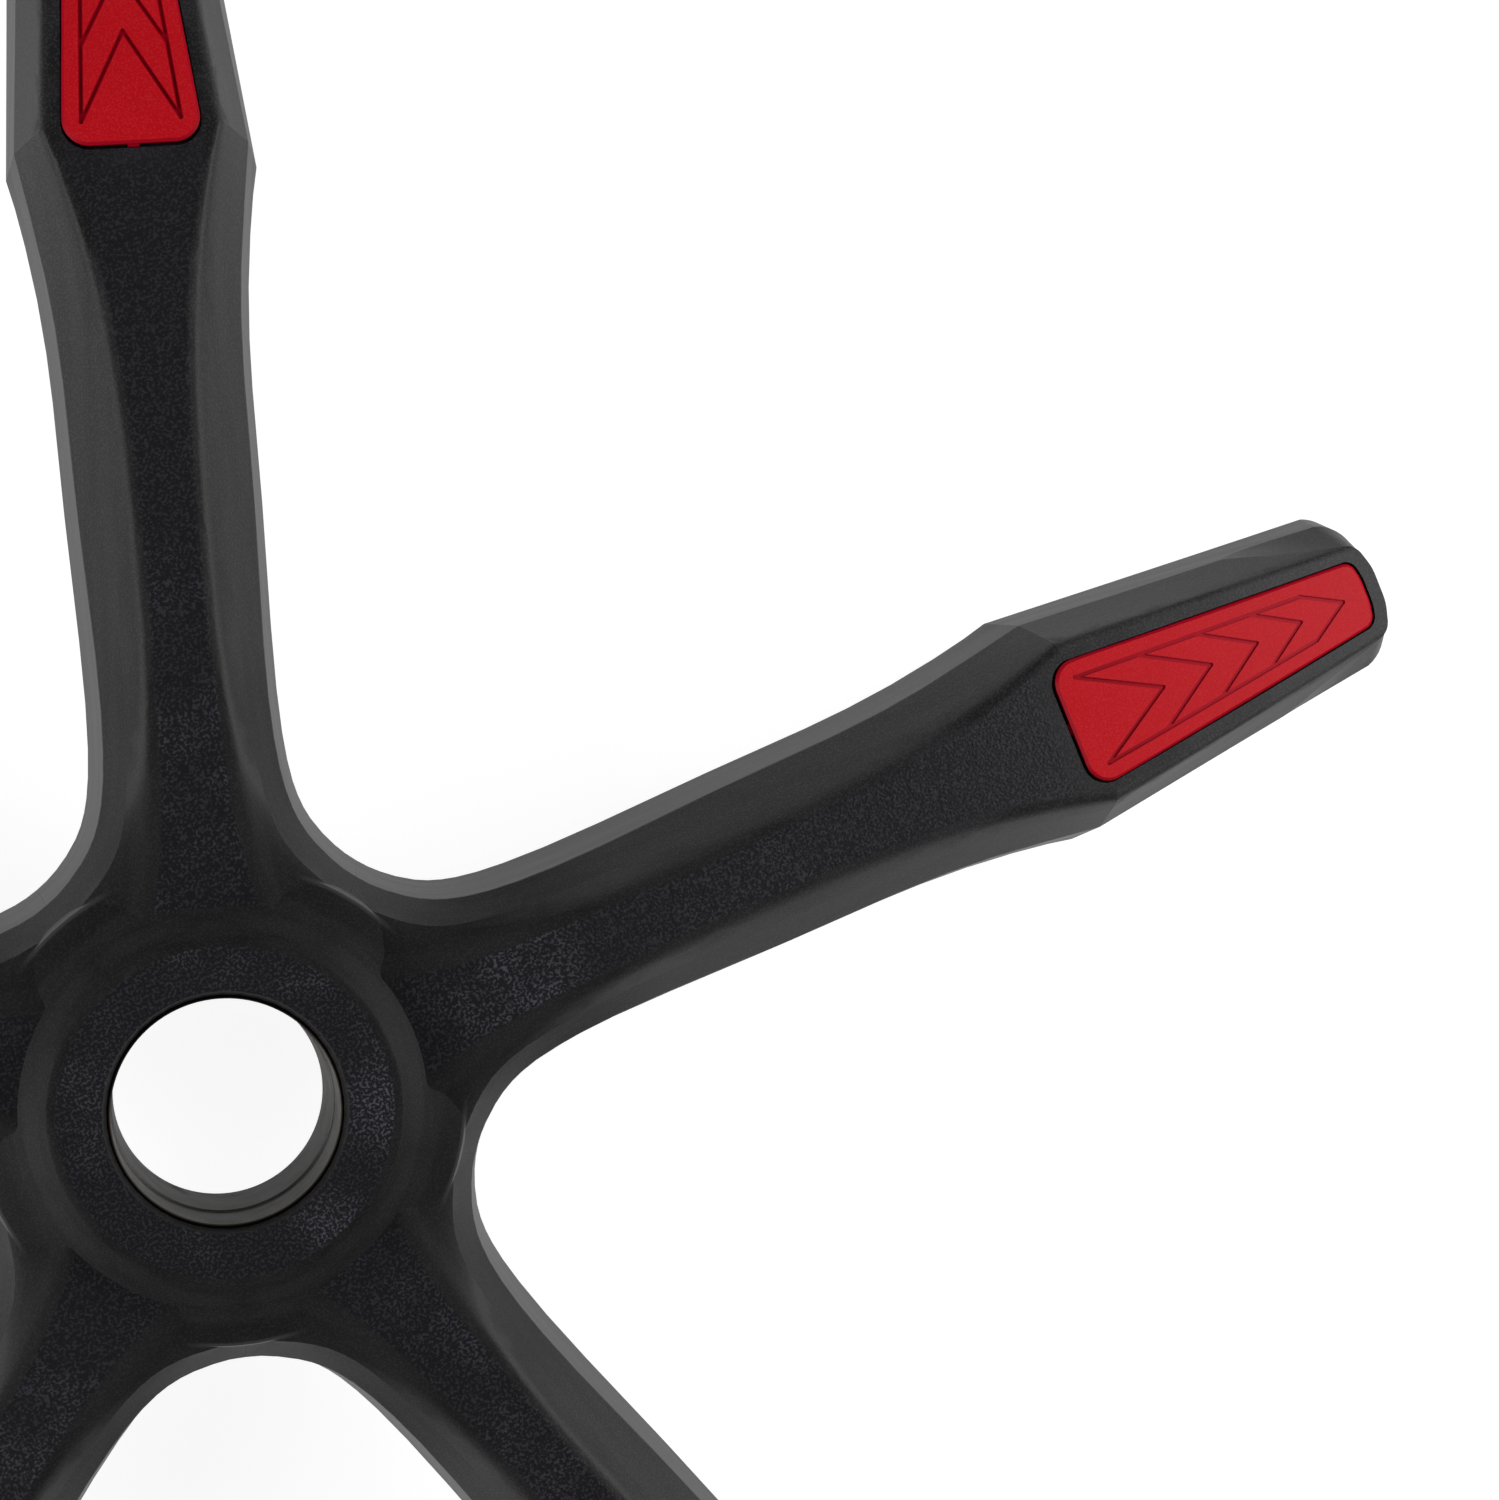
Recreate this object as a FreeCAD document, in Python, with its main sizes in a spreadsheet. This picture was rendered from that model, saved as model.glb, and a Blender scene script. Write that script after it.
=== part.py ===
import FreeCAD, Part
import math
import os
import re

import Sketcher
from FreeCAD import Placement, Rotation, Vector

os.makedirs("parts", exist_ok=True)
doc = FreeCAD.newDocument("five_star_base")

# The hub axis is Z, its flat top ring lies at z = 0 and the first arm points along +X.
sheet = doc.addObject("Spreadsheet::Sheet", "sizes")
dimensions = {
    "arm_count": 5,
    # hub, from the bore outwards
    "lead_radius": 25.65,
    "lead_length": 20.5,
    "ledge_width": 0.5,
    "seat_end_radius": 24.65,
    "sleeve_edge": 0.5,
    "sleeve_wall": 2.55,
    "tube_wall": 5.2,
    "lip_gap": 0.95,
    "mouth_gap": 1.95,
    "lip_depth": 2.3,
    "ring_radius": 38.9,
    "ring_round": 3.0,
    "flank_mid_radius": 46.2,
    "flank_mid_drop": 8.5,
    "flank_round": 16.0,
    "rim_radius": 55.6,
    "rim_drop": 15.6,
    "rim_round": 1.2,
    "rim_step_width": 0.8,
    "rim_step_drop": 3.4,
    "hub_height": 50.0,
    # valley between two arms
    "valley_edge_radius": 38.1,
    "valley_centre_along": 79.8,
    "valley_centre_across": 57.96,
    "valley_edge_drop": 27.5,
    "valley_foot_drop": 52.2,
    "wall_draft": 7.6,
    "edge_round": 1.2,
    # flat strip on the arm between the hub and the root of the arm
    "strip_start_along": 45.6,
    "strip_start_top": 14.2,
    "strip_start_drop": 8.2,
    "strip_mid_along": 60.0,
    "strip_mid_top": 11.9,
    # floor of the valley beside the strip and its rim, by distance from the valley's centre
    "fan_drop": 10.0,
    "rim_corner": 44.1,
    "rim_corner_drop": 15.4,
    "rim_side_corner": 44.7,
    "rim_side_drop": 14.8,
    # shoulder between the flat top and the chamfer: reach on the top and falls of its poles
    "shoulder_reach": 2.9,
    "shoulder_first_fall": 2.95,
    "shoulder_second_fall": 5.6,
    "shoulder_last_fall": 7.4,
    "tip_shoulder_share": 0.45,
    # sections along an arm: place, half width and depth of top corner and of edge, depth of foot
    "root_top": 10.1,
    "root_drop": 11.7,
    "root_edge_drop": 27.7,
    "root_foot_drop": 52.3,
    "waist_along": 125.0,
    "waist_top": 8.5,
    "waist_drop": 15.8,
    "waist_edge": 19.9,
    "waist_edge_drop": 31.8,
    "waist_foot_drop": 54.3,
    "swell_along": 166.0,
    "swell_top": 9.6,
    "swell_drop": 19.7,
    "swell_edge": 20.7,
    "swell_edge_drop": 36.2,
    "swell_foot_drop": 56.9,
    "flare_along": 202.0,
    "flare_top": 14.2,
    "flare_drop": 24.1,
    "flare_edge": 23.7,
    "flare_edge_drop": 40.8,
    "flare_foot_drop": 60.1,
    "shoulder_along": 226.0,
    "shoulder_top": 20.5,
    "shoulder_drop": 28.0,
    "shoulder_edge": 27.0,
    "shoulder_edge_drop": 43.8,
    "shoulder_foot_drop": 62.0,
    "shoulder_lean": 11.5,
    "pad_along": 264.0,
    "pad_top": 16.8,
    "pad_drop": 35.4,
    "pad_edge": 22.9,
    "pad_edge_drop": 50.1,
    "pad_foot_drop": 67.6,
    "tip_along": 324.0,
    "tip_top": 10.6,
    "tip_drop": 51.8,
    "tip_edge": 17.6,
    "tip_edge_drop": 61.4,
    "tip_foot_drop": 77.6,
    # rounded end of an arm, at its top, at its edge and at its foot
    "end_along": 314.9,
    "end_edge_gain": 1.8,
    "end_corner": 5.5,
    "end_edge_corner": 11.0,
    "end_bow_share": 0.2,
    "end_flat_share": 0.4,
    "end_bow_round": 12.0,
    "end_allowance": 0.25,
    "end_taper": 0.26,
    "end_edge_taper": 0.12,
    # hollow underside
    "wall": 4.0,
    "top_skin": 4.4,
    "pad_skin": 7.4,
    "hollow_start": 48.0,
    "hub_hollow_radius": 55.0,
    "hollow_end": 310.0,
    "hollow_end_half": 12.5,
    "rib_thickness": 2.4,
    "rib_recess": 4.0,
    "rib_first": 84.0,
    "rib_pitch": 28.0,
    "rib_count": 6,
    "rib_turn": 38.0,
    # caster stem socket
    "socket_along": 292.0,
    "socket_radius": 5.6,
    "socket_depth": 24.0,
    "boss_radius": 10.4,
    "boss_rib_length": 56.0,
    "socket_lead": 0.8,
    "socket_foot_drop": 74.6,
    # inlay and its seat
    "inlay_start": 221.6,
    "inlay_end": 310.6,
    "inlay_start_half": 16.2,
    "inlay_end_half": 8.5,
    "inlay_start_corner": 6.0,
    "inlay_end_corner": 3.6,
    "inlay_thickness": 2.9,
    "inlay_proud": 0.3,
    "inlay_round": 0.7,
    "inlay_end_bow": 1.2,
    "inlay_end_flat": 3.4,
    "inlay_gap": 0.35,
    "inlay_end_gap": 0.6,
    "inlay_start_gap": 1.0,
    "leg_along": 246.0,
    "leg_across": 7.0,
    "leg_width": 6.0,
    "leg_thickness": 2.0,
    "leg_length": 6.6,
    "barb_height": 1.4,
    "barb_reach": 0.8,
    "leg_clearance": 0.3,
    "tab_width": 2.6,
    "tab_reach": 0.7,
    "tab_height": 1.4,
    "tab_rise": 1.6,
    # engraved chevrons
    "groove_depth": 0.45,
    "groove_width": 0.85,
    "chevron_start": 227.1,
    "chevron_start_half": 11.3,
    "chevron_end": 292.2,
    "chevron_end_half": 5.9,
    "chevron_tip_start": 248.0,
    "chevron_tip_end": 303.2,
    "chevron_count": 5,
    "chevron_ratio": 0.94,
    "chevron_tip_ratio": 0.98,
}
for row, (name, value) in enumerate(dimensions.items(), 1):
    sheet.set("A%d" % row, name)
    sheet.set("B%d" % row, str(value))
    sheet.setAlias("B%d" % row, name)
doc.recompute()


def size(name):
    return float(sheet.get(name))


def bound(expression):
    """The expression with every name of the sheet written as another object reads it."""
    return re.sub(r"[a-z_]+", lambda word: "sizes." * (word.group() in dimensions) + word.group(), expression)


def origin_plane(body, role):
    for feature in body.Origin.OriginFeatures:
        if feature.Role == role:
            return feature
    raise ValueError(role)


def outline_sketch(body, name, role, corners):
    """A closed outline whose corners are pairs of expressions in the sheet's names."""
    sketch = body.newObject("Sketcher::SketchObject", name)
    sketch.AttachmentSupport = [(origin_plane(body, role), "")]
    sketch.MapMode = "FlatFace"
    points = []
    for across, up in corners:
        points.append(Vector(sheet.evalExpression(across), sheet.evalExpression(up), 0))
    count = len(points)
    for index in range(count):
        sketch.addGeometry(Part.LineSegment(points[index], points[(index + 1) % count]), False)
    for index in range(count):
        sketch.addConstraint(Sketcher.Constraint("Coincident", index, 2, (index + 1) % count, 1))
    for index, (across, up) in enumerate(corners):
        for kind, expression, value in (("DistanceX", across, points[index].x), ("DistanceY", up, points[index].y)):
            number = sketch.addConstraint(Sketcher.Constraint(kind, -1, 1, index, 1, value))
            sketch.setExpression("Constraints[%d]" % number, bound(expression))
    return sketch


def revolved(label, corners):
    """A body turned about the hub axis from an outline in the XZ plane."""
    body = doc.addObject("PartDesign::Body", label)
    body.Label = label
    sketch = outline_sketch(body, label + "_outline", "XZ_Plane", corners)
    turn = body.newObject("PartDesign::Revolution", label + "_turn")
    turn.Profile = sketch
    turn.ReferenceAxis = (sketch, ["V_Axis"])
    turn.Angle = 360.0
    doc.recompute()
    return body


def shape_object(label, shape):
    obj = doc.addObject("Part::Feature", label)
    obj.Label = label
    obj.Shape = shape
    return obj


def rounded_edge(body, name, radius, height, amount):
    """A fillet on the round edge of a turned body at a radius and a height, all three as expressions."""
    wanted_radius = sheet.evalExpression(radius)
    wanted_height = sheet.evalExpression(height)
    found = []
    turned = body.Tip
    for number, edge in enumerate(turned.Shape.Edges, 1):
        circle = edge.Curve
        if circle.TypeId == "Part::GeomCircle" and abs(circle.Radius - wanted_radius) < 0.01:
            if abs(circle.Center.z - wanted_height) < 0.01:
                found.append("Edge%d" % number)
    fillet = body.newObject("PartDesign::Fillet", name)
    fillet.Base = (turned, found)
    fillet.setExpression("Radius", bound(amount))
    body.Tip = fillet
    doc.recompute()


# Hub: a tube with a flat top ring, a hollowed flank and a small step round its rim
hub = revolved("hub_disc", [
    ("lead_radius + sleeve_wall", "-hub_height"),
    ("lead_radius + sleeve_wall + tube_wall", "-hub_height"),
    ("lead_radius + sleeve_wall + tube_wall", "-rim_drop - top_skin"),
    ("rim_radius - top_skin", "-rim_drop - top_skin"),
    ("rim_radius + rim_step_width", "-rim_drop - rim_step_drop"),
    ("rim_radius", "-rim_drop"),
    ("flank_mid_radius", "-flank_mid_drop"),
    ("ring_radius", "0"),
    ("lead_radius + mouth_gap", "0"),
    ("lead_radius + lip_gap", "-lip_depth"),
    ("lead_radius + sleeve_wall", "-lip_depth"),
])
rounded_edge(hub, "ring_fillet", "ring_radius", "0", "ring_round")
rounded_edge(hub, "flank_fillet", "flank_mid_radius", "-flank_mid_drop", "flank_round")
rounded_edge(hub, "rim_fillet", "rim_radius", "-rim_drop", "rim_round")

# Sleeve: a lead-in, a narrow ledge and a seat that tapers to the lower end
sleeve = revolved("hub_sleeve", [
    ("lead_radius + sleeve_edge", "-lip_depth"),
    ("lead_radius + sleeve_wall", "-lip_depth"),
    ("lead_radius + sleeve_wall", "-hub_height"),
    ("seat_end_radius", "-hub_height"),
    ("lead_radius - ledge_width", "-lip_depth - sleeve_edge - lead_length - ledge_width"),
    ("lead_radius", "-lip_depth - sleeve_edge - lead_length"),
    ("lead_radius", "-lip_depth - sleeve_edge"),
])


def rounded_wire(corners, radii):
    """A closed wire through the corners, with an arc at each corner that has a radius."""
    count = len(corners)
    arrivals = []
    departures = []
    middles = []
    for index, corner in enumerate(corners):
        back = (corners[index - 1] - corner).normalize()
        ahead = (corners[(index + 1) % count] - corner).normalize()
        radius = radii[index]
        half = back.getAngle(ahead) / 2
        reach = radius / math.tan(half)
        arrivals.append(corner + back * reach)
        departures.append(corner + ahead * reach)
        middles.append(corner + (back + ahead).normalize() * (radius / math.sin(half) - radius))
    edges = []
    for index in range(count):
        if radii[index]:
            arc = Part.Arc(arrivals[index], middles[index], departures[index])
            edges.append(arc.toShape())
        edges.append(Part.makeLine(departures[index], arrivals[(index + 1) % count]))
    return Part.Wire(edges)


rail = size("valley_centre_across")
centre = size("valley_centre_along")
slope = math.tan(math.radians(size("wall_draft")))
chamfer_run = (rail - size("valley_edge_radius") - size("root_top")) / (size("root_edge_drop") - size("root_drop"))


def curve_through(first, second, third, place):
    """The value at a place of the parabola through three points."""
    first_slope = (second[1] - first[1]) / (second[0] - first[0])
    second_slope = (third[1] - second[1]) / (third[0] - second[0])
    bend = (second_slope - first_slope) / (third[0] - first[0])
    return first[1] + (place - first[0]) * (first_slope + bend * (place - second[0]))


def half_section(along, turn, lean, foot, edge, under, poles, inner):
    """Half a section, from the rail inwards to the arm's middle; each point is (distance, drop)."""
    place = Placement(Vector(along, rail, 0), Rotation(-90 - turn, 0, 90 - lean))

    def put(point):
        return place.multVec(Vector(point[0], -point[1], 0))

    low = rounded_wire([put((inner[0], foot[1])), put(foot), put(edge), put(under)], [0, 0, size("edge_round"), 0])
    low_edges = low.Edges[:-1]
    curve = Part.BSplineCurve()
    curve.buildFromPolesMultsKnots([put(point) for point in poles], [4, 1, 4], [0.0, 0.5, 1.0], False, 3)
    closing = [
        curve.toShape(),
        Part.makeLine(put(poles[-1]), put(inner)),
        Part.makeLine(put(inner), put((inner[0], foot[1]))),
    ]
    return Part.Wire(low_edges + closing)


def strip_top(along):
    """Half the width of the flat strip between the hub and the root, to its corner."""
    return curve_through((size("strip_start_along"), size("strip_start_top")),
                         (size("strip_mid_along"), size("strip_mid_top")),
                         (centre, size("root_top")), along)


def strip_drop(along):
    fall = (size("root_drop") - size("strip_start_drop")) / (centre - size("strip_start_along"))
    return size("root_drop") + (along - centre) * fall


def valley_section(share):
    """A section whose plane is turned about the centre of the valley's arc, by a share of the way to the hub axis."""
    turn = bisector_turn * share
    across = math.cos(math.radians(turn))
    inwards = math.sin(math.radians(turn))
    distance = rail - size("root_top")
    for repeat in range(12):
        distance = (rail - strip_top(centre - distance * inwards)) / across
    drop = strip_drop(centre - distance * inwards)
    inner = rail / across
    inner_drop = strip_drop(centre - inner * inwards)
    edge = (size("valley_edge_radius"), size("valley_edge_drop"))
    foot = (edge[0] - (size("valley_foot_drop") - edge[1]) * slope, size("valley_foot_drop"))
    root_fall = size("shoulder_second_fall")
    root_rim = (rail - size("root_top") - root_fall * chamfer_run, size("root_drop") + root_fall)
    side = 2.0 / 3.0
    rim = (curve_through((0, root_rim[0]), (side, size("rim_side_corner")), (1, size("rim_corner")), share),
           curve_through((0, root_rim[1]), (side, size("rim_side_drop")), (1, size("rim_corner_drop")), share))
    fan_drop = size("fan_drop") + (1 - share) * (size("root_drop") + size("shoulder_first_fall") - size("fan_drop"))
    fan = (distance - (fan_drop - drop) * chamfer_run, fan_drop)
    span = math.hypot(rim[0] - edge[0], rim[1] - edge[1])
    past = (size("shoulder_last_fall") - root_fall) * math.hypot(1, chamfer_run) / span
    under = (rim[0] + (edge[0] - rim[0]) * past, rim[1] + (edge[1] - rim[1]) * past)
    poles = [under, rim, fan, (distance, drop), (distance + size("shoulder_reach"), drop)]
    return half_section(centre, turn, 0, foot, edge, under, poles, (inner, inner_drop))


def arm_section(name, edge_half, lean, shoulder_share):
    """A section square to the arm; a leaning one is placed by its top corner."""
    shift = size(name + "_drop") * math.tan(math.radians(lean))
    stretch = 1 / math.cos(math.radians(lean))
    along = centre if name == "root" else size(name + "_along")
    edge = (rail - edge_half, size(name + "_edge_drop") * stretch)
    foot_half = edge_half + (size(name + "_foot_drop") - size(name + "_edge_drop")) * slope
    foot = (rail - foot_half, size(name + "_foot_drop") * stretch)
    top = (rail - size(name + "_top"), size(name + "_drop") * stretch)
    run = (edge[0] - top[0]) / (edge[1] - top[1])
    falls = [size("shoulder_%s_fall" % step) * shoulder_share for step in ("last", "second", "first")]
    poles = [(top[0] + fall * run, top[1] + fall) for fall in falls]
    poles += [top, (top[0] + size("shoulder_reach") * shoulder_share, top[1])]
    return half_section(along + shift, 0, lean, foot, edge, poles[0], poles, (rail, top[1]))


root_edge = rail - size("valley_edge_radius")
bisector_turn = 90 - 180 / size("arm_count")
end_share = size("tip_shoulder_share")
cubic = 3
shoulder = arm_section("shoulder", size("shoulder_edge"), size("shoulder_lean"), (1 + end_share) / 2)
inboard = Part.makeLoft([
    valley_section(1),
    valley_section(5 / 6),
    valley_section(2 / 3),
    valley_section(4 / 9),
    arm_section("root", root_edge, 0, 1),
    arm_section("waist", size("waist_edge"), 0, 1),
    arm_section("swell", size("swell_edge"), 0, 1),
    arm_section("flare", size("flare_edge"), 0, (3 + end_share) / 4),
    shoulder,
], True, False, False, cubic)
outboard = Part.makeLoft([
    shoulder,
    arm_section("pad", size("pad_edge"), 0, end_share),
    arm_section("tip", size("tip_edge"), 0, end_share),
], True, False, False, cubic)
half_arm = inboard.fuse(outboard)
other_half = half_arm.mirror(Vector(0, 0, 0), Vector(0, 1, 0))
whole_arm = half_arm.fuse(other_half)


def prism(corners, low, high, radii=None):
    """An upright solid over an outline in plan."""
    points = [Vector(along, across, low) for along, across in corners]
    wire = rounded_wire(points, radii or [0] * len(points))
    return Part.Face(wire).extrude(Vector(0, 0, high - low))


def arm_box(along, across, length, width, low, high, turn=0):
    """A box centred on a point in plan and turned about it."""
    box = Part.makeBox(length, width, high - low, Vector(-length / 2, -width / 2, low))
    box.Placement = Placement(Vector(along, across, 0), Rotation(turn, 0, 0)).multiply(box.Placement)
    return box


# Rounded end of the arm: everything beyond these outlines, from the top down to the foot, is taken off
floor = -size("tip_foot_drop") - 10
reach = size("tip_along")


def at_end(part, along):
    """A size of the arm's section near its end, between the pad and the tip."""
    share = (along - size("pad_along")) / (size("tip_along") - size("pad_along"))
    return size("pad_" + part) * (1 - share) + size("tip_" + part) * share


def end_outline(along, half, corner, taper, level):
    side = size("pad_along")
    wide = half + (along - side) * taper
    bow = half * size("end_bow_share")
    flat = half * size("end_flat_share")
    half_outline = [(-reach, -reach), (side, -reach), (side, -wide), (along - bow, -half), (along, -flat)]
    radii = [0, 0, 0, corner, size("end_bow_round")]
    points = half_outline + [(place, -across) for place, across in reversed(half_outline)]
    return rounded_wire([Vector(place, across, level) for place, across in points], radii + radii[::-1])


end = size("end_along")
end_edge = end + size("end_edge_gain")
end_edge_drop = at_end("edge_drop", end)
end_foot = end_edge + (-floor - end_edge_drop) * slope
top_half = at_end("top", end) + size("end_allowance")
edge_half = at_end("edge", end) + size("end_allowance")
foot_half = edge_half + (-floor - end_edge_drop) * slope
kept = Part.makeLoft([
    end_outline(end_foot, foot_half, size("end_edge_corner"), size("end_edge_taper"), floor),
    end_outline(end_edge, edge_half, size("end_edge_corner"), size("end_edge_taper"), -end_edge_drop),
    end_outline(end, top_half, size("end_corner"), size("end_taper"), -at_end("drop", end)),
    end_outline(end, top_half, size("end_corner"), size("end_taper"), 0),
], True, True)
trimmed_arm = whole_arm.common(kept)

# Hollow under the arm, with diagonal ribs and a boss for the caster stem
wall = size("wall")


def hollow_section(along, top, drop, edge, edge_drop, foot_drop, skin):
    foot = edge + (foot_drop - edge_drop) * slope
    below = foot_drop + wall
    half = [
        (foot - wall + wall * slope, -below),
        (edge - wall, -edge_drop),
        (top - wall / 2, -drop - skin),
    ]
    points = [Vector(along, across, up) for across, up in half]
    points += [Vector(along, -across, up) for across, up in reversed(half)]
    return rounded_wire(points, [0] * len(points))


def hollow_at(name, along, edge, skin):
    values = [size(name + "_" + part) for part in ("top", "drop")]
    drops = [size(name + "_edge_drop"), size(name + "_foot_drop")]
    return hollow_section(along, values[0], values[1], edge, drops[0], drops[1], skin)


skin = size("top_skin")
pad_skin = size("pad_skin")
start = size("hollow_start")
hollow_end = size("hollow_end")
root_slope = (size("waist_drop") - size("root_drop")) / (size("waist_along") - size("valley_centre_along"))
start_rise = (size("valley_centre_along") - start) * root_slope
hollow_inboard = Part.makeLoft([
    hollow_section(start, size("root_top"), size("root_drop") - start_rise, root_edge,
                   size("root_edge_drop") - start_rise, size("root_foot_drop"), skin + wall),
    hollow_at("root", size("valley_centre_along"), root_edge, skin),
    hollow_at("waist", size("waist_along"), size("waist_edge"), skin),
    hollow_at("swell", size("swell_along"), size("swell_edge"), skin),
    hollow_at("flare", size("flare_along"), size("flare_edge"), (skin + pad_skin) / 2),
    hollow_at("shoulder", size("shoulder_along") - wall, size("shoulder_edge"), pad_skin),
], True, True)
hollow_outboard = Part.makeLoft([
    hollow_at("shoulder", size("shoulder_along") - wall, size("shoulder_edge"), pad_skin),
    hollow_at("pad", size("pad_along"), size("pad_edge"), pad_skin),
    hollow_section(hollow_end, at_end("top", hollow_end), at_end("drop", hollow_end), at_end("edge", hollow_end),
                   at_end("edge_drop", hollow_end), at_end("foot_drop", hollow_end), pad_skin),
], True, True)
end_room = prism([
    (-reach, -reach),
    (size("socket_along"), -reach),
    (size("socket_along"), -size("hollow_end_half") - wall),
    (size("hollow_end"), -size("hollow_end_half")),
    (size("hollow_end"), size("hollow_end_half")),
    (size("socket_along"), size("hollow_end_half") + wall),
    (size("socket_along"), reach),
    (-reach, reach),
], floor - wall, 0, [0, 0, 0, size("end_corner"), size("end_corner"), 0, 0, 0])
hollow = hollow_inboard.fuse(hollow_outboard.common(end_room))

rib = size("rib_thickness")
recess = size("rib_recess")
foot_slope = (size("shoulder_foot_drop") - size("root_foot_drop")) / (size("shoulder_along") - size("valley_centre_along"))
ribs = []
for index in range(int(size("rib_count"))):
    along = size("rib_first") + index * size("rib_pitch")
    rib_foot = size("root_foot_drop") + (along - size("valley_centre_along")) * foot_slope - recess
    turn = size("rib_turn") if index % 2 else -size("rib_turn")
    ribs.append(arm_box(along, 0, rib, 100, -rib_foot, 0, turn))
spine_end = size("rib_first") - size("rib_pitch") / 2
ribs.append(arm_box(spine_end / 2, 0, spine_end, rib, recess - size("root_foot_drop"), 0))
socket_foot = -size("socket_foot_drop")
boss_rib_foot = recess - size("pad_foot_drop")
socket = size("socket_along")
ribs.append(arm_box(socket, 0, rib, 100, boss_rib_foot, 0))
ribs.append(arm_box(socket, 0, size("boss_rib_length"), rib, boss_rib_foot, 0))
ribs.append(Part.makeCylinder(size("boss_radius"), -socket_foot, Vector(socket, 0, socket_foot)))
cells = hollow.cut(ribs)
boss = Part.makeCylinder(size("boss_radius"), size("socket_depth") + wall, Vector(socket, 0, socket_foot))
bore = Part.makeCylinder(size("socket_radius"), size("socket_depth"), Vector(socket, 0, socket_foot))
lead = Part.makeCone(size("socket_radius") + size("socket_lead"), size("socket_radius"), size("socket_lead"),
                     Vector(socket, 0, socket_foot))

# Inlay: a plate that follows the arm's top, between two curved surfaces
crown = [(size(name + "_along"), -size(name + "_drop")) for name in ("shoulder", "pad", "tip")]
crown_slope = (crown[1][1] - crown[0][1]) / (crown[1][0] - crown[0][0])


def crown_slab(low, high):
    """The room between two copies of the arm's top line, moved down and up."""
    edges = []
    for shift in (low, high):
        points = [Vector(along, 0, up + shift) for along, up in crown]
        points[0] = points[0] - Vector(wall, 0, wall * crown_slope) * 4
        edges.append(Part.Arc(points[0], points[1], points[2]))
    under = edges[0]
    over = edges[1]
    wire = Part.Wire([
        under.toShape(),
        Part.makeLine(under.EndPoint, over.EndPoint),
        over.toShape(),
        Part.makeLine(over.StartPoint, under.StartPoint),
    ])
    face = Part.Face(wire)
    face.translate(Vector(0, -rail, 0))
    return face.extrude(Vector(0, 2 * rail, 0))


def inlay_outline(gap, start_gap, end_gap):
    first = size("inlay_start") - start_gap
    last = size("inlay_end") + end_gap
    flat = size("inlay_end_flat")
    near = size("inlay_start_half") + gap
    far = size("inlay_end_half") + gap
    near_corner = size("inlay_start_corner") + gap
    far_corner = size("inlay_end_corner") + gap
    bow = last - size("inlay_end_bow")
    corners = [(first, -near), (bow, -far), (last, -flat), (last, flat), (bow, far), (first, near)]
    radii = [near_corner, far_corner, size("end_bow_round"), size("end_bow_round"), far_corner, near_corner]
    return prism(corners, floor, 0, radii)


thickness = size("inlay_thickness")
seat = inlay_outline(size("inlay_gap"), size("inlay_start_gap"), size("inlay_end_gap")).common(crown_slab(-thickness, rail))
plate = inlay_outline(0, 0, 0).common(crown_slab(-thickness, size("inlay_proud")))
broad_faces = sorted(plate.Faces, key=lambda face: face.Area)[-2:]
top_face = max(broad_faces, key=lambda face: face.CenterOfMass.z)
plate = plate.makeChamfer(size("inlay_round"), top_face.Edges)

# Snap legs under the plate, each with a barb below the seat's floor, and slots for them
clearance = size("leg_clearance")
leg_top = -size("shoulder_drop") + (size("leg_along") - size("shoulder_along")) * crown_slope - thickness
leg_low = leg_top - size("leg_length")
legs = []
slots = []
for side in (-1, 1):
    across = side * size("leg_across")
    stem = arm_box(size("leg_along"), across, size("leg_thickness"), size("leg_width"), leg_low, leg_top + 1)
    face_along = size("leg_along") + size("leg_thickness") / 2
    back = across - size("leg_width") / 2
    barb = Part.Face(rounded_wire([
        Vector(face_along, back, leg_low),
        Vector(face_along + size("barb_reach"), back, leg_low + size("barb_height")),
        Vector(face_along, back, leg_low + size("barb_height")),
    ], [0, 0, 0])).extrude(Vector(0, size("leg_width"), 0))
    legs += [stem, barb]
    slots.append(arm_box(size("leg_along"), across, size("leg_thickness") + 2 * clearance,
                         size("leg_width") + 2 * clearance, leg_low - wall, leg_top + 1))
tab_low = -size("shoulder_drop") - thickness
tab = arm_box(size("inlay_start"), 0, 2 * size("tab_reach"), size("tab_width"), tab_low + size("tab_rise"),
              tab_low + size("tab_rise") + size("tab_height"))

# Engraved chevrons: shallow grooves between two side lines that close towards the tip
groove = size("groove_width")
above_groove = crown_slab(size("inlay_proud") - size("groove_depth"), rail)


def spread(first, last, ratio):
    """Places from first to last whose steps shrink by the ratio."""
    count = int(size("chevron_count"))
    total = sum(ratio ** step for step in range(count - 1))
    places = [first]
    for step in range(count - 1):
        places.append(places[-1] + (last - first) * ratio ** step / total)
    return places


def groove_line(start_point, end_point):
    length = math.hypot(end_point[0] - start_point[0], end_point[1] - start_point[1])
    turn = math.degrees(math.atan2(end_point[1] - start_point[1], end_point[0] - start_point[0]))
    middle = ((start_point[0] + end_point[0]) / 2, (start_point[1] + end_point[1]) / 2)
    return arm_box(middle[0], middle[1], length + groove, groove, floor, 0, turn)


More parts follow.
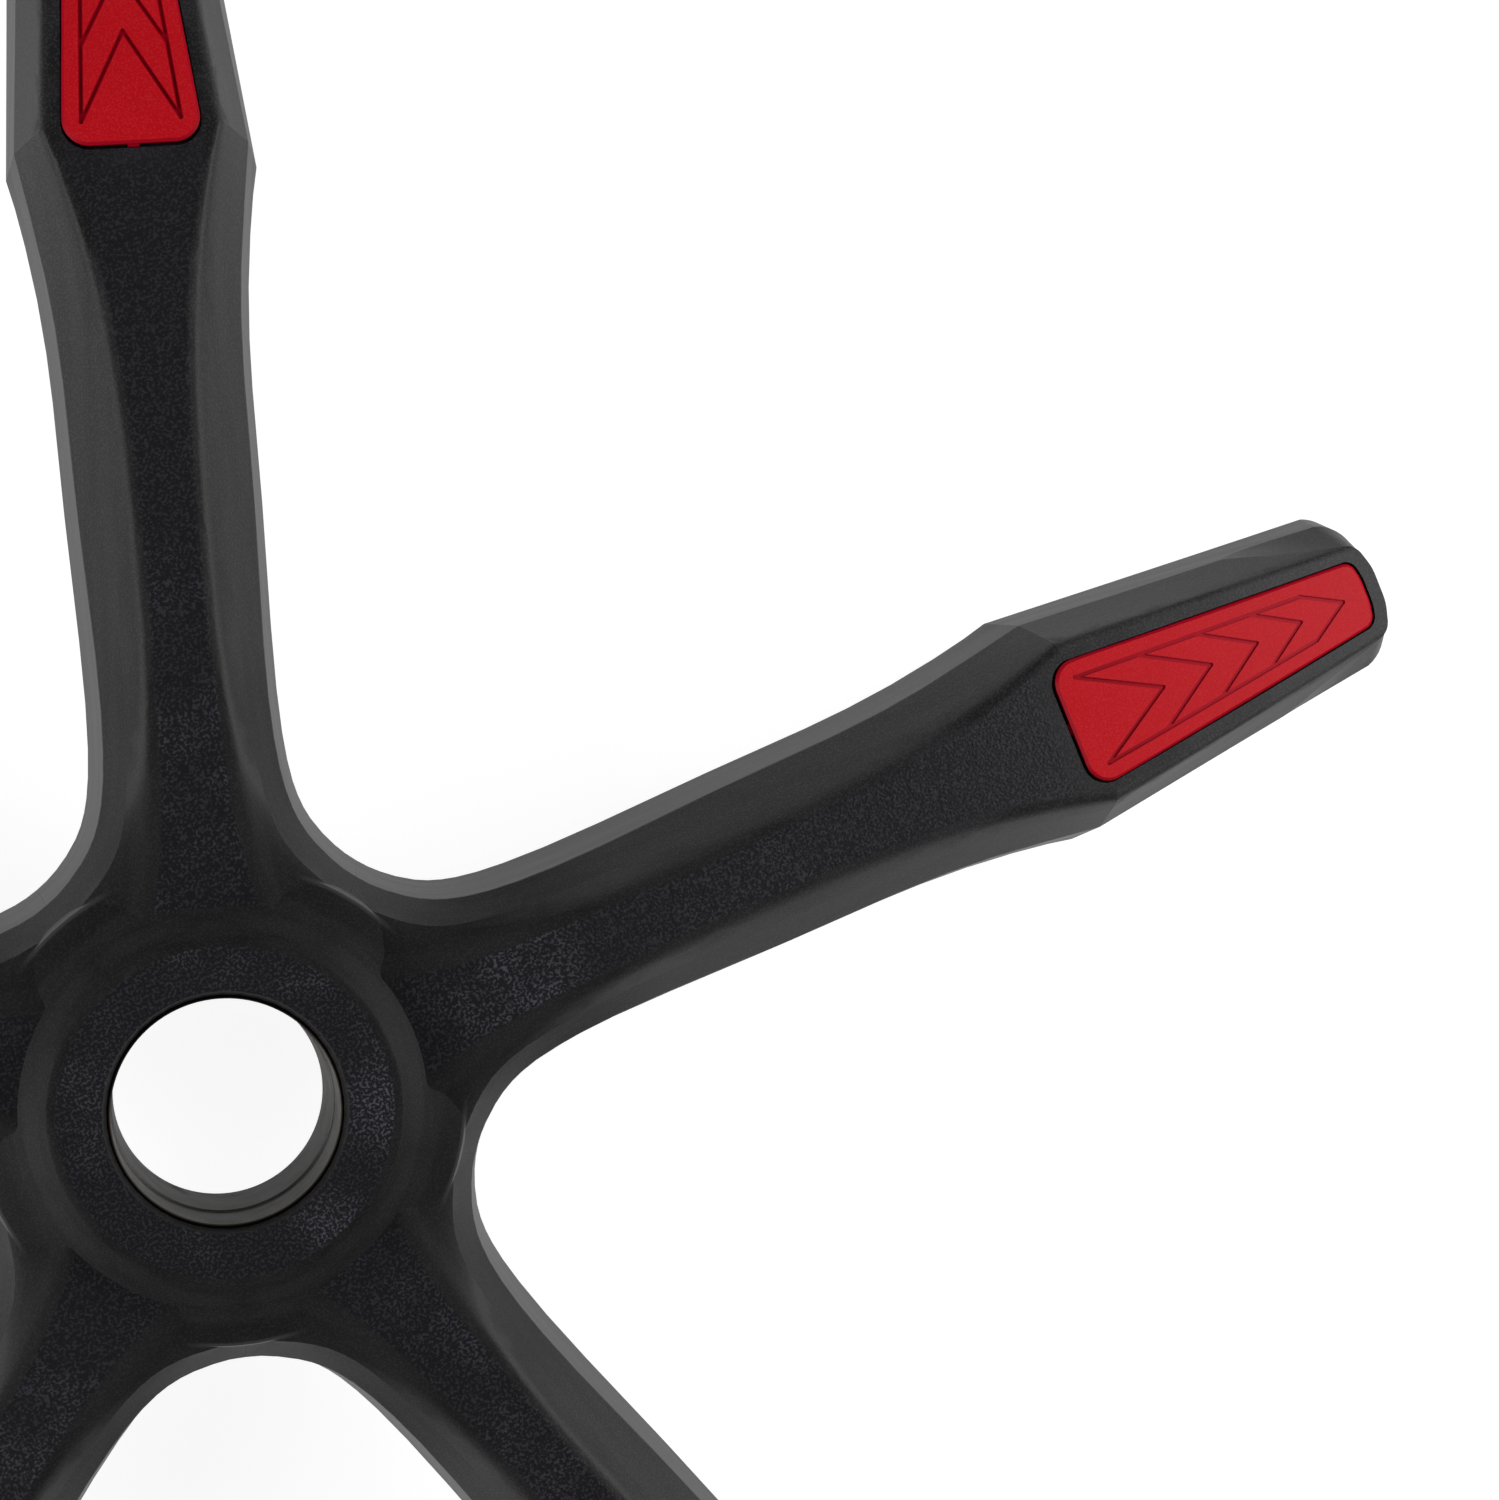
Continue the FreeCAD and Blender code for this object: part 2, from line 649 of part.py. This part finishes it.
bases = spread(size("chevron_start"), size("chevron_end"), size("chevron_ratio"))
points_at = spread(size("chevron_tip_start"), size("chevron_tip_end"), size("chevron_tip_ratio"))
taper = (size("chevron_start_half") - size("chevron_end_half")) / (bases[-1] - bases[0])
lines = []
for side in (-1, 1):
    lines.append(groove_line((bases[0], side * size("chevron_start_half")), (bases[-1], side * size("chevron_end_half"))))
    for base, point in zip(bases, points_at):
        half = size("chevron_start_half") - (base - bases[0]) * taper
        lines.append(groove_line((base, side * half), (point, 0)))
grooves = lines[0].multiFuse(lines[1:]).common(above_groove)
inlay_shape = plate.multiFuse(legs + [tab]).cut(grooves)

# The finished arm and the five of them round the hub
arm = trimmed_arm.cut(cells).fuse(boss).cut([bore, lead, seat] + slots)
step = 360 / size("arm_count")
upright = Vector(0, 0, 1)
arms = []
for index in range(int(size("arm_count"))):
    turned = arm.copy()
    turned.rotate(Vector(0, 0, 0), upright, index * step)
    arms.append(turned)
star = arms[0].multiFuse(arms[1:])

# The hollow round the hub tube, between radial ribs
sleeve_outside = size("lead_radius") + size("sleeve_wall")
tube = sleeve_outside + size("tube_wall")
ring_top = -size("rim_drop") - skin
room = Part.makeCylinder(size("hub_hollow_radius"), ring_top - floor, Vector(0, 0, floor))
room = room.cut(Part.makeCylinder(tube, ring_top - floor, Vector(0, 0, floor)))
spokes = []
for index in range(2 * int(size("arm_count"))):
    spoke = arm_box(size("hub_hollow_radius") / 2, 0, size("hub_hollow_radius") + wall, rib,
                    recess - size("root_foot_drop"), 0)
    spoke.rotate(Vector(0, 0, 0), upright, index * step / 2)
    spokes.append(spoke)
room = room.cut(spokes)
bore_room = Part.makeCylinder(sleeve_outside, -floor, Vector(0, 0, floor))
under_tube = Part.makeCylinder(tube, -floor - size("hub_height"), Vector(0, 0, floor))
base_shape = star.cut([room, bore_room, under_tube]).fuse(hub.Shape)

star_base = shape_object("star_base", base_shape.Solids[0])
nodes = [star_base, sleeve]
for index in range(int(size("arm_count"))):
    inlay = shape_object("foot_inlay_%d" % (index + 1), inlay_shape)
    inlay.Placement = Placement(Vector(0, 0, 0), Rotation(index * step, 0, 0))
    nodes.append(inlay)
doc.recompute()
for obj in doc.Objects:
    if "Invalid" in obj.State or "Error" in obj.State:
        raise RuntimeError("%s did not compute" % obj.Label)
for node in nodes:
    if node.Shape.isNull() or not node.Shape.isValid() or len(node.Shape.Solids) != 1:
        raise RuntimeError("%s is not one sound solid" % node.Label)
for node in nodes:
    node.Shape.exportStep("parts/%s.step" % node.Label)
    print(node.Label, "volume in mm3:", round(node.Shape.Volume))
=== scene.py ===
import math

import bpy
from mathutils import Euler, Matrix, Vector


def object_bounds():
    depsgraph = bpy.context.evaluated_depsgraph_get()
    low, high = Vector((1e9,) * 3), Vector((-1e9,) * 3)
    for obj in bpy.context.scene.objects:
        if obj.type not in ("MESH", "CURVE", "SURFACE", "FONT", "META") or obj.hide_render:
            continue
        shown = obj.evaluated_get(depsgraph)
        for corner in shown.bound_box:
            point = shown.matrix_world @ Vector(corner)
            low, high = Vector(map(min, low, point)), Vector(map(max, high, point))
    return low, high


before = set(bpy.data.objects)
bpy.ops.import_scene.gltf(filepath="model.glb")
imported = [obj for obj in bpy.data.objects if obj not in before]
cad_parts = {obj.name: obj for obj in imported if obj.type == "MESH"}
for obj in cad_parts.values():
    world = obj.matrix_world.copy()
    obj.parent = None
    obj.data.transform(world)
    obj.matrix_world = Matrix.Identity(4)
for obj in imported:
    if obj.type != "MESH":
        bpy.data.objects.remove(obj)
cad_low, cad_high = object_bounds()
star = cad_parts["star_base"]
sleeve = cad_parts["hub_sleeve"]
inlays = [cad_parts["foot_inlay_%d" % number] for number in range(1, 6)]


# Star: hub and five arms moulded in one shot from black glass-filled nylon.
# The flat top of the hub and of each arm has a coarse spark grain, the shoulders beside it are smooth,
# and the chamfers and drafted walls have the fine skin of a polished mould with faint flow streaks.
mm = 0.001
arm_turn = math.radians(72)


def new_node(tree, kind, **settings):
    """A node of a shader tree; settings are its properties, inputs are values or links for its sockets."""
    made = tree.nodes.new("ShaderNode" + kind)
    inputs = settings.pop("inputs", {})
    for name, value in settings.items():
        setattr(made, name, value)
    for name, value in inputs.items():
        if isinstance(value, bpy.types.NodeSocket):
            tree.links.new(value, made.inputs[name])
        else:
            made.inputs[name].default_value = value
    return made


def maths(tree, operation, first, second=0.0, third=0.0):
    return new_node(tree, "Math", operation=operation, inputs={0: first, 1: second, 2: third}).outputs[0]


def product(tree, first, *others):
    for value in others:
        first = maths(tree, "MULTIPLY", first, value)
    return first


def vector_maths(tree, operation, first, second=(0, 0, 0)):
    """The vector and the number that a step of vector maths puts out."""
    made = new_node(tree, "VectorMath", operation=operation, inputs={0: first, 1: second})
    return made.outputs[0], made.outputs[1]


def noise(tree, place, scale, detail, roughness=0.5):
    made = new_node(tree, "TexNoise",
                    inputs={"Vector": place, "Scale": scale, "Detail": detail, "Roughness": roughness})
    return made.outputs["Fac"]


def ramp(tree, value, low, high):
    """A soft step from 0 at low to 1 at high; low may be the larger one."""
    made = new_node(tree, "MapRange", interpolation_type="SMOOTHSTEP",
                    inputs={"Value": value, "From Min": low, "From Max": high})
    return made.outputs["Result"]


def blend_colour(tree, share, first, second):
    made = new_node(tree, "Mix", data_type="RGBA")
    for name, value in (("Factor_Float", share), ("A_Color", first), ("B_Color", second)):
        socket = next(entry for entry in made.inputs if entry.identifier == name)
        if isinstance(value, bpy.types.NodeSocket):
            tree.links.new(value, socket)
        else:
            socket.default_value = value
    return next(entry for entry in made.outputs if entry.identifier == "Result_Color")


def new_group(name, inputs, outputs):
    group = bpy.data.node_groups.new(name, "ShaderNodeTree")
    for socket_name, kind, value in inputs:
        made = group.interface.new_socket(socket_name, in_out="INPUT", socket_type=kind)
        if kind == "NodeSocketFloat":
            made.default_value = value
    for socket_name, kind in outputs:
        group.interface.new_socket(socket_name, in_out="OUTPUT", socket_type=kind)
    return group, group.nodes.new("NodeGroupInput"), group.nodes.new("NodeGroupOutput")


def place_group(tree, group, **inputs):
    made = tree.nodes.new("ShaderNodeGroup")
    made.node_tree = group
    for name, value in inputs.items():
        socket = made.inputs[name.replace("_", " ")]
        if isinstance(value, bpy.types.NodeSocket):
            tree.links.new(value, socket)
        else:
            socket.default_value = value
    return made


def one_arm_group():
    """Folds the five arms onto one: distance along the arm, across it, and height, in metres."""
    group, start, end = new_group("one_arm", [("Point", "NodeSocketVector", None)],
                                  [("Along", "NodeSocketFloat"), ("Across", "NodeSocketFloat"),
                                   ("Height", "NodeSocketFloat"), ("Radius", "NodeSocketFloat")])
    parts = new_node(group, "SeparateXYZ", inputs={0: start.outputs["Point"]})
    angle = maths(group, "ARCTAN2", parts.outputs["Y"], parts.outputs["X"])
    folded = maths(group, "WRAP", angle, arm_turn / 2, -arm_turn / 2)
    squared = maths(group, "MULTIPLY_ADD", parts.outputs["Y"], parts.outputs["Y"],
                    maths(group, "MULTIPLY", parts.outputs["X"], parts.outputs["X"]))
    radius = maths(group, "SQRT", squared)
    group.links.new(maths(group, "MULTIPLY", radius, maths(group, "COSINE", folded)), end.inputs["Along"])
    group.links.new(maths(group, "MULTIPLY", radius, maths(group, "SINE", folded)), end.inputs["Across"])
    group.links.new(parts.outputs["Z"], end.inputs["Height"])
    group.links.new(radius, end.inputs["Radius"])
    return group


def spark_grain_group():
    """The eroded skin of a mould: rounded pits and bumps of two sizes."""
    group, start, end = new_group("spark_grain", [("Point", "NodeSocketVector", None),
                                                  ("Grain per metre", "NodeSocketFloat", 2400.0)],
                                  [("Relief", "NodeSocketFloat"), ("Speckle", "NodeSocketFloat")])
    grain_scale = start.outputs["Grain per metre"]
    bumps = noise(group, start.outputs["Point"], grain_scale, 1.0, 0.55)
    pit_scale = maths(group, "MULTIPLY", grain_scale, 0.8)
    pits = new_node(group, "TexVoronoi", feature="F1",
                    inputs={"Vector": start.outputs["Point"], "Scale": pit_scale})
    relief = maths(group, "MULTIPLY_ADD", pits.outputs["Distance"], -0.6, bumps)
    group.links.new(relief, end.inputs["Relief"])
    group.links.new(ramp(group, bumps, 0.47, 0.64), end.inputs["Speckle"])
    return group


one_arm = one_arm_group()
spark_grain = spark_grain_group()

strip_start = 45.6 * mm
strip_end = 221.0 * mm
# half width of the flat strip at places along the arm, both in millimetres
strip_widths = [(40, 12.2), (46, 11.6), (60, 9.0), (75, 7.5), (100, 6.9), (120, 6.5), (140, 6.7),
                (160, 7.3), (180, 8.7), (200, 11.0), (210, 13.5), (216, 15.5), (226, 17.4), (320, 17.4)]
curve_reach = 0.4
curve_width = 0.03
ring_edge = 37.9 * mm
rim_radius = 55.4 * mm
# places where the grain is worn: their middle and how far the wear reaches, in millimetres
worn_places = [(70, 2, 26), (34, -13, 17), (11, -34, 14)]
worn_height = -6 * mm
grain_height = 0.11 * mm
skin_height = 0.024 * mm
# how far the shading leans towards the hub's axis on the low surfaces round the hub
hub_lean = 0.6

nylon = bpy.data.materials.new("black_nylon")
nylon.use_nodes = True
tree = nylon.node_tree
shader = tree.nodes["Principled BSDF"]
point = new_node(tree, "TexCoord").outputs["Object"]
arm = place_group(tree, one_arm, Point=point)
across = maths(tree, "ABSOLUTE", arm.outputs["Across"])
width_curve = new_node(tree, "FloatCurve")
width_line = width_curve.mapping.curves[0]
for number, (along, half) in enumerate(strip_widths):
    place = (along * mm / curve_reach, half * mm / curve_width)
    if number < 2:
        width_line.points[number].location = place
    else:
        width_line.points.new(*place)
width_curve.mapping.update()
tree.links.new(maths(tree, "DIVIDE", arm.outputs["Along"], curve_reach), width_curve.inputs["Value"])
half_width = maths(tree, "MULTIPLY", width_curve.outputs["Value"], curve_width)
inside = ramp(tree, maths(tree, "SUBTRACT", across, half_width), 0.5 * mm, -0.4 * mm)
after_hub = ramp(tree, arm.outputs["Along"], strip_start - 0.4 * mm, strip_start + 0.5 * mm)
before_inlay = ramp(tree, arm.outputs["Along"], strip_end + 3 * mm, strip_end - 8 * mm)
strip = product(tree, inside, after_hub, before_inlay)
ring = ramp(tree, arm.outputs["Radius"], ring_edge + 0.3 * mm, ring_edge - 0.5 * mm)
facing = new_node(tree, "SeparateXYZ", inputs={0: new_node(tree, "NewGeometry").outputs["Normal"]})
upward = ramp(tree, facing.outputs["Z"], 0.6, 0.8)
grained = maths(tree, "MULTIPLY", maths(tree, "MAXIMUM", strip, ring), upward)

# grain of the flats: worn at a few places, and rubbed in blotches that fade away from the hub
coarse_grain = place_group(tree, spark_grain, Point=point, Grain_per_metre=1450.0)
fine_grain = place_group(tree, spark_grain, Point=point, Grain_per_metre=1900.0)
blotches = noise(tree, point, 38.0, 3.0, 0.6)
near_hub = ramp(tree, arm.outputs["Radius"], 190 * mm, 55 * mm)
worn = 0.0
for worn_x, worn_y, reach in worn_places:
    from_place = vector_maths(tree, "DISTANCE", point, (worn_x * mm, worn_y * mm, worn_height))[1]
    worn = maths(tree, "MAXIMUM", worn, ramp(tree, from_place, reach * mm, 0.35 * reach * mm))
worn = maths(tree, "MULTIPLY", worn, ramp(tree, blotches, 0.34, 0.56))
scattered = product(tree, ramp(tree, blotches, 0.46, 0.72), near_hub, 0.6)
rubbed = maths(tree, "MULTIPLY", maths(tree, "MAXIMUM", worn, scattered), grained)
speckle = coarse_grain.outputs["Speckle"]
grain_colour = blend_colour(tree, speckle, (0.0055, 0.005, 0.0064, 1), (0.0215, 0.0204, 0.0258, 1))
rubbed_grain = blend_colour(tree, speckle, (0.0125, 0.0118, 0.015, 1), (0.075, 0.072, 0.086, 1))
rubbed_colour = blend_colour(tree, rubbed, grain_colour, rubbed_grain)
# skin of the chamfers and walls: streaks along the arm, with painted shade that makes it darker round the hub
# than further out
arm_place = new_node(tree, "CombineXYZ",
                     inputs={0: arm.outputs["Along"], 1: across, 2: arm.outputs["Height"]}).outputs[0]
streak_place = vector_maths(tree, "MULTIPLY", arm_place, (18.0, 60.0, 240.0))[0]
streaks = noise(tree, streak_place, 1.0, 2.0)
streaked = maths(tree, "MULTIPLY", ramp(tree, streaks, 0.36, 0.64), 0.3)
skin_tone = maths(tree, "MULTIPLY_ADD", fine_grain.outputs["Speckle"], 0.5, streaked)
# painted shade: the skin round the hub gets a darker, flatter tone than the arms further out
shaded_hub_skin = blend_colour(tree, skin_tone, (0.0078, 0.0072, 0.0076, 1), (0.027, 0.0254, 0.0263, 1))
arm_skin = blend_colour(tree, skin_tone, (0.006, 0.0055, 0.006, 1), (0.037, 0.0345, 0.0375, 1))
outward = ramp(tree, arm.outputs["Radius"], 75 * mm, 210 * mm)
skin_with_hub_shade = blend_colour(tree, outward, shaded_hub_skin, arm_skin)
# painted highlight: a fine light line along the hub's rim in the middle of each valley
from_rim = maths(tree, "ABSOLUTE", maths(tree, "SUBTRACT", arm.outputs["Radius"], rim_radius))
rim_highlight_band = ramp(tree, from_rim, 0.9 * mm, 0.1 * mm)
between_arms = ramp(tree, maths(tree, "DIVIDE", across, arm.outputs["Radius"]), 0.34, 0.5)
rim_painted_highlight = product(tree, rim_highlight_band, between_arms, 0.8)
skin_streaks_and_painted_light = blend_colour(tree, rim_painted_highlight, skin_with_hub_shade, (0.055, 0.053, 0.055, 1))
tree.links.new(blend_colour(tree, grained, skin_streaks_and_painted_light, rubbed_colour), shader.inputs["Base Color"])
skin_roughness = maths(tree, "MULTIPLY_ADD", streaks, 0.16, 0.4)
grain_roughness = maths(tree, "MULTIPLY_ADD", rubbed, -0.12, 0.54)
roughness = new_node(tree, "Mix", inputs={0: grained, 2: skin_roughness, 3: grain_roughness})
tree.links.new(roughness.outputs[0], shader.inputs["Roughness"])
grain_depth = product(tree, coarse_grain.outputs["Relief"], grained, grain_height)
skin_depth = maths(tree, "MULTIPLY_ADD", fine_grain.outputs["Relief"], skin_height, grain_depth)
bump = new_node(tree, "Bump", inputs={"Height": skin_depth, "Distance": 1.0, "Strength": 1.0})
round_hub = ramp(tree, arm.outputs["Radius"], 112 * mm, 62 * mm)
sloped = ramp(tree, facing.outputs["Z"], 0.4, 0.6)
leaning = product(tree, round_hub, sloped, hub_lean)
hub_axis = new_node(tree, "VectorTransform", vector_type="NORMAL",
                    convert_from="OBJECT", convert_to="WORLD", inputs={0: (0, 0, 1)}).outputs[0]
leant = new_node(tree, "Mix", data_type="VECTOR",
                 inputs={0: leaning, 4: bump.outputs["Normal"], 5: hub_axis}).outputs[1]
tree.links.new(vector_maths(tree, "NORMALIZE", leant)[0], shader.inputs["Normal"])
shader.inputs["Specular IOR Level"].default_value = 0.22
star.data.materials.clear()
star.data.materials.append(nylon)


# Sleeve: a length of drawn steel tube pressed into the hub.
# It is turned inside to a lead-in, a narrow ledge and a tapered seat, which leaves fine lines round the bore.
# Its colour carries painted light: a brownish highlight on its top edge, a lighter ledge and a near-black
# painted shadow at its top; the bare metal has dark smudges towards its lower end.
steel = bpy.data.materials.new("sleeve_steel")
steel.use_nodes = True
tree = steel.node_tree
shader = tree.nodes["Principled BSDF"]
point = new_node(tree, "TexCoord").outputs["Object"]
stretched = new_node(tree, "Mapping", inputs={"Vector": point, "Scale": (60.0, 60.0, 2600.0)}).outputs[0]
turning = noise(tree, stretched, 1.0, 3.0)
smears = noise(tree, point, 140.0, 5.0, 0.65)
height = new_node(tree, "SeparateXYZ", inputs={0: point}).outputs["Z"]
low_part = ramp(tree, height, -38.0 * mm, -47.0 * mm)
smudge = maths(tree, "MULTIPLY", low_part, ramp(tree, smears, 0.52, 0.66))
# painted highlight: a brownish light line on the sleeve's top edge
top_edge_highlight_band = ramp(tree, height, -3.3 * mm, -2.95 * mm)
# painted shadow: the sleeve's top face, in the gap under the nylon lip, is coloured near black
top_face_shadow_band = ramp(tree, height, -2.75 * mm, -2.45 * mm)
above_ledge_foot = ramp(tree, height, -24.0 * mm, -23.7 * mm)
below_ledge_top = ramp(tree, height, -22.9 * mm, -23.3 * mm)
ledge = maths(tree, "MULTIPLY", above_ledge_foot, below_ledge_top)
tone = maths(tree, "MULTIPLY_ADD", turning, 0.6, maths(tree, "MULTIPLY", smears, 0.4))
bare = blend_colour(tree, tone, (0.025, 0.0245, 0.024, 1), (0.115, 0.113, 0.11, 1))
# painted highlight: the narrow ledge, facing up into the light, is coloured a lighter steel
with_painted_ledge_highlight = blend_colour(tree, ledge, bare, (0.2, 0.196, 0.192, 1))
with_painted_edge_highlight = blend_colour(tree, top_edge_highlight_band, with_painted_ledge_highlight, (0.075, 0.06, 0.048, 1))
with_painted_top_shadow = blend_colour(tree, top_face_shadow_band, with_painted_edge_highlight, (0.006, 0.006, 0.006, 1))
tree.links.new(blend_colour(tree, smudge, with_painted_top_shadow, (0.008, 0.008, 0.009, 1)), shader.inputs["Base Color"])
shader.inputs["Metallic"].default_value = 1.0
shader.inputs["Specular Tint"].default_value = (0.42, 0.42, 0.42, 1)
tree.links.new(maths(tree, "MULTIPLY_ADD", smears, 0.25, 0.3), shader.inputs["Roughness"])
bump = new_node(tree, "Bump", inputs={"Height": turning, "Distance": 0.012 * mm, "Strength": 1.0})
tree.links.new(bump.outputs["Normal"], shader.inputs["Normal"])
sleeve.data.materials.clear()
sleeve.data.materials.append(steel)


# Inlays: a red moulded plate over each caster socket, held by two snap legs in its seat.
# Its satin face is a little proud of the arm, with a chamfered rim and a row of engraved chevrons.
def line_distance_group():
    """Distance, in the plan of an arm, from the straight line between two places."""
    group, start, end = new_group("line_distance", [("Place", "NodeSocketVector", None),
                                                    ("First", "NodeSocketVector", None),
                                                    ("Last", "NodeSocketVector", None)],
                                  [("Distance", "NodeSocketFloat")])
    run = vector_maths(group, "SUBTRACT", start.outputs["Last"], start.outputs["First"])[0]
    offset = vector_maths(group, "SUBTRACT", start.outputs["Place"], start.outputs["First"])[0]
    along_run = vector_maths(group, "DOT_PRODUCT", offset, run)[1]
    run_squared = vector_maths(group, "DOT_PRODUCT", run, run)[1]
    share = new_node(group, "Math", operation="DIVIDE", use_clamp=True,
                     inputs={0: along_run, 1: run_squared}).outputs[0]
    nearest = new_node(group, "VectorMath", operation="SCALE",
                       inputs={"Vector": run, "Scale": share}).outputs["Vector"]
    group.links.new(vector_maths(group, "DISTANCE", offset, nearest)[1], end.inputs["Distance"])
    return group


line_distance = line_distance_group()
# each chevron, in millimetres: where its legs start along the arm and across it, and where its tip lies
chevrons = [(227.1, 11.3, 248.0), (244.9, 9.82, 262.2), (261.7, 8.43, 276.2), (277.4, 7.13, 289.8),
            (292.2, 5.9, 303.2)]
# height of the inlay's face at three places along the arm, in millimetres
face_heights = [(226.0, -27.7), (264.0, -35.1), (324.0, -51.5)]

red = bpy.data.materials.new("red_plastic")
red.use_nodes = True
tree = red.node_tree
shader = tree.nodes["Principled BSDF"]
point = new_node(tree, "TexCoord").outputs["Object"]
arm = place_group(tree, one_arm, Point=point)
(first_along, first_height), (mid_along, mid_height), (last_along, last_height) = face_heights
first_slope = (mid_height - first_height) / (mid_along - first_along)
last_slope = (last_height - mid_height) / (last_along - mid_along)
bend = (last_slope - first_slope) / (last_along - first_along)
from_first = maths(tree, "SUBTRACT", arm.outputs["Along"], first_along * mm)
from_mid = maths(tree, "SUBTRACT", arm.outputs["Along"], mid_along * mm)
straight = maths(tree, "MULTIPLY_ADD", from_first, first_slope, first_height * mm)
curved = product(tree, from_first, from_mid, bend / mm)
face_height = maths(tree, "ADD", straight, curved)
depth = maths(tree, "SUBTRACT", face_height, arm.outputs["Height"])
engraved = ramp(tree, depth, 0.15 * mm, 0.35 * mm)
place = new_node(tree, "CombineXYZ", inputs={0: arm.outputs["Along"],
                                             1: maths(tree, "ABSOLUTE", arm.outputs["Across"])}).outputs[0]
lines = [((base, half), (tip, 0.0)) for base, half, tip in chevrons]
lines.append((chevrons[0][:2], chevrons[-1][:2]))
# painted shade, a deeper red beside the grooves: the distance from the nearest of their middle lines
to_line = 1.0
for first, last in lines:
    line = place_group(tree, line_distance, Place=place, First=(first[0] * mm, first[1] * mm, 0),
                       Last=(last[0] * mm, last[1] * mm, 0))
    to_line = maths(tree, "MINIMUM", to_line, line.outputs["Distance"])
painted_groove_shade = ramp(tree, to_line, 0.68 * mm, 0.42 * mm)
facing = new_node(tree, "SeparateXYZ", inputs={0: new_node(tree, "NewGeometry").outputs["Normal"]})
# painted shade: the chamfered rim, turned away from the light, is coloured a deeper red
painted_rim_shade = ramp(tree, facing.outputs["Z"], 0.94, 0.85)
painted_groove_and_rim_shade = maths(tree, "MAXIMUM", painted_groove_shade, painted_rim_shade)
plate_grain = place_group(tree, spark_grain, Point=point, Grain_per_metre=2200.0)
tone = noise(tree, point, 45.0, 3.0)
plain_colour = blend_colour(tree, tone, (0.48, 0.003, 0.008, 1), (0.56, 0.006, 0.013, 1))
flecks = maths(tree, "MULTIPLY", plate_grain.outputs["Speckle"], 0.1)
plate_colour = blend_colour(tree, flecks, plain_colour, (0.8, 0.09, 0.1, 1))
plate_with_painted_shade = blend_colour(tree, painted_groove_and_rim_shade, plate_colour, (0.35, 0.0, 0.01, 1))
# painted shade: the bottoms of the grooves are coloured a deeper red
plate_with_painted_groove_shade = blend_colour(tree, engraved, plate_with_painted_shade, (0.44, 0.0, 0.014, 1))
tree.links.new(plate_with_painted_groove_shade, shader.inputs["Base Color"])
tree.links.new(maths(tree, "MULTIPLY_ADD", tone, 0.1, 0.42), shader.inputs["Roughness"])
bump = new_node(tree, "Bump",
                inputs={"Height": plate_grain.outputs["Relief"], "Distance": 0.012 * mm, "Strength": 1.0})
tree.links.new(bump.outputs["Normal"], shader.inputs["Normal"])
shader.inputs["Specular IOR Level"].default_value = 0.08
for inlay in inlays:
    inlay.data.materials.clear()
    inlay.data.materials.append(red)


# Studio: a white floor under the ends of the arms, a soft panel low on each side,
# and a sky that is bright at the horizon and dim overhead.
floor_level = cad_low.z
bpy.ops.mesh.primitive_plane_add(size=12.0, location=(0, 0, floor_level))
floor = bpy.context.object
floor.name = "floor"
paper = bpy.data.materials.new("paper")
paper.use_nodes = True
tree = paper.node_tree
shader = tree.nodes["Principled BSDF"]
shader.inputs["Base Color"].default_value = (0.3, 0.3, 0.3, 1)
shader.inputs["Roughness"].default_value = 0.9
shader.inputs["Specular IOR Level"].default_value = 0.1
rays = new_node(tree, "LightPath")
seen = maths(tree, "MAXIMUM", rays.outputs["Is Camera Ray"], rays.outputs["Is Glossy Ray"])
seen = maths(tree, "MAXIMUM", seen, rays.outputs["Is Transmission Ray"])
shader.inputs["Emission Color"].default_value = (1, 1, 1, 1)
tree.links.new(maths(tree, "MULTIPLY", seen, 0.9), shader.inputs["Emission Strength"])
floor.data.materials.append(paper)

world = bpy.data.worlds.new("studio")
bpy.context.scene.world = world
world.use_nodes = True
tree = world.node_tree
background = tree.nodes["Background"]
direction = new_node(tree, "SeparateXYZ", inputs={0: new_node(tree, "TexCoord").outputs["Generated"]})
zenith = ramp(tree, direction.outputs["Z"], 0.3, 0.75)
sky = blend_colour(tree, zenith, (0.7, 0.7, 0.7, 1), (0.045, 0.045, 0.05, 1))
rays = new_node(tree, "LightPath")
backdrop = blend_colour(tree, rays.outputs["Is Camera Ray"], sky, (1, 1, 1, 1))
tree.links.new(backdrop, background.inputs["Color"])
background.inputs["Strength"].default_value = 1.0


def soft_panel(name, place, turn, width, height, watts):
    lamp = bpy.data.lights.new(name, "AREA")
    lamp.shape = "RECTANGLE"
    lamp.size = width
    lamp.size_y = height
    lamp.energy = watts
    panel = bpy.data.objects.new(name, lamp)
    panel.location = place
    panel.rotation_euler = [math.radians(angle) for angle in turn]
    bpy.context.scene.collection.objects.link(panel)


soft_panel("left_panel", (-1.3, 0.3, 0.62), (0, -64, 0), 0.6, 1.2, 17)
soft_panel("right_panel", (1.3, -0.2, 0.62), (0, 64, 0), 0.6, 1.2, 14)

# Camera: the photograph's own place above the base, beside the arm that lies along +X.
camera = bpy.data.objects.new("camera", bpy.data.cameras.new("camera"))
camera.location = (0.0054517, 0.1000509, 0.8735479)
camera.rotation_euler = Euler([math.radians(angle) for angle in (-2.0267, -12.22706, -22.82121)])
camera.data.lens = 91.8514
camera.data.sensor_width = 36.0
camera.data.shift_x = -0.10033
camera.data.shift_y = 0.05333
camera.data.clip_start = 0.01
bpy.context.scene.collection.objects.link(camera)
bpy.context.scene.camera = camera
bpy.context.scene.view_settings.view_transform = "Standard"
